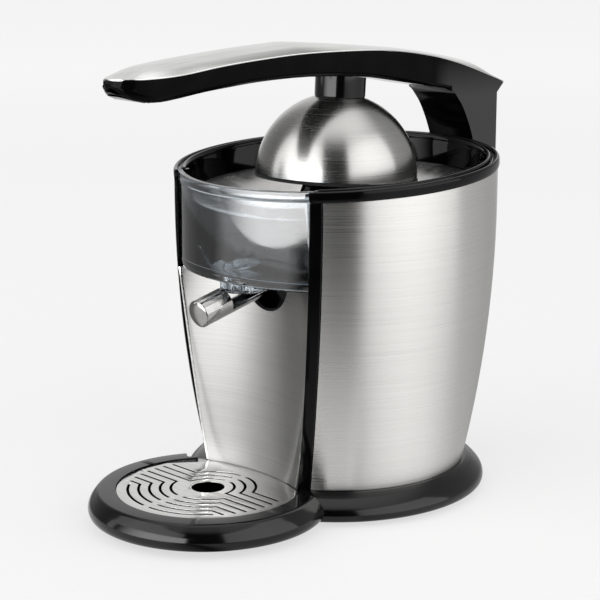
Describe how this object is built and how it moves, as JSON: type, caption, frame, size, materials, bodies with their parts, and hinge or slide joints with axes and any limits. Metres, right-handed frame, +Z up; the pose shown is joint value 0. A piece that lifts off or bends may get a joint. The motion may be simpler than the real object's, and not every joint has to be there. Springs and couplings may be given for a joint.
{
  "type": "lever citrus juice press",
  "caption": "Motorised citrus press: a hinged lever brings a steel dome down on a turning cone; juice runs through a strainer, clear collector and spout.",
  "frame": {"origin": "middle of the whole object in plan, on the plane its feet stand on", "axes": "+Z up, -Y towards the drip tray and the user, +X to the object's own left as seen from behind"},
  "size_m": [0.2208, 0.35, 0.3084],
  "materials": {
    "steel": "fine brushed",
    "mirror": "polished",
    "gloss": "high gloss black",
    "satin": "satin black",
    "smoke": "smoked clear plastic",
    "rubber": "matte",
    "nylon": "matte",
    "zinc": "cast",
    "brass": "machined",
    "copper": "wound"
  },
  "bodies": {
    "root": {"base_skirt": "gloss", "base_pan": "satin", "body_shell": "steel", "pillar_right": "gloss", "pillar_left": "gloss", "front_panel": "steel", "sill_shelf": "gloss", "spout_socket": "gloss", "rim_bowl": "gloss", "collector": "smoke", "strainer": "mirror", "spout_pin": "zinc", "rear_spine": "gloss", "switch_body": "satin", "cord_gland": "rubber", "hinge_pin": "zinc", "hinge_spring": "steel", "gear_frame": "zinc", "gear_cover": "satin", "spindle_bush": "brass", "shaft_seal": "rubber", "motor_can": "zinc", "motor_cap": "satin", "idler_axle": "zinc", "pan_screw_1": "zinc", "base_foot_1": "rubber", "pan_screw_2": "zinc", "base_foot_2": "rubber", "pan_screw_3": "zinc", "base_foot_3": "rubber", "pan_screw_4": "zinc", "base_foot_4": "rubber"},
    "arm": {"arm": "gloss", "grip_pad": "rubber", "arm_cap": "mirror", "hinge_bush": "nylon", "dome": "steel", "dome_liner": "satin", "dome_seal": "rubber", "hub": "gloss", "dome_screw": "zinc"},
    "drip_tray": {"drip_tray": "gloss", "tray_foot_1": "rubber", "tray_foot_2": "rubber", "tray_foot_3": "rubber"},
    "drip_plate": {"drip_plate": "steel"},
    "spout": {"spout": "mirror"},
    "switch_plunger": {"switch_plunger": "nylon"},
    "spindle": {"spindle": "mirror", "spindle_gear": "nylon", "reamer": "gloss"},
    "idler": {"idler_gear": "nylon"},
    "rotor": {"motor_rotor": "copper", "motor_pinion": "brass"}
  },
  "joints": [
    {"name": "arm_hinge", "type": "hinge", "parent": "root", "child": "arm", "pos_m": [0, 0.15117, 0.211], "axis": [-1, 0, 0], "range_deg": [-3.5, 55]},
    {"name": "reamer_spin", "type": "hinge", "parent": "root", "child": "spindle", "pos_m": [0, 0.02317, 0.2], "axis": [0, 0, 1], "continuous": true},
    {"name": "idler_spin", "type": "hinge", "parent": "root", "child": "idler", "pos_m": [-0.02289, 0.04208, 0.135], "axis": [0, 0, 1], "continuous": true},
    {"name": "rotor_spin", "type": "hinge", "parent": "root", "child": "rotor", "pos_m": [0, 0.05917, 0.09], "axis": [0, 0, 1], "continuous": true},
    {"name": "switch_press", "type": "slide", "parent": "root", "child": "switch_plunger", "axis": [0, 0, -1], "range_m": [0, 0.0012], "stiffness_N_per_m": 150},
    {"name": "spout_tilt", "type": "hinge", "parent": "root", "child": "spout", "pos_m": [0, -0.03883, 0.1491], "axis": [-1, 0, 0], "range_deg": [-8, 3.5]},
    {"name": "tray_slide", "type": "slide", "parent": "root", "child": "drip_tray", "axis": [0, -1, 0], "range_m": [0, 0.12]},
    {"name": "plate_lift", "type": "slide", "parent": "drip_tray", "child": "drip_plate", "axis": [0, 0, 1], "range_m": [0, 0.03]}
  ],
  "couplings": [
    {"joint": "idler_spin", "follows": "reamer_spin", "ratio": -2.8571},
    {"joint": "rotor_spin", "follows": "reamer_spin", "ratio": 9.5238}
  ]
}
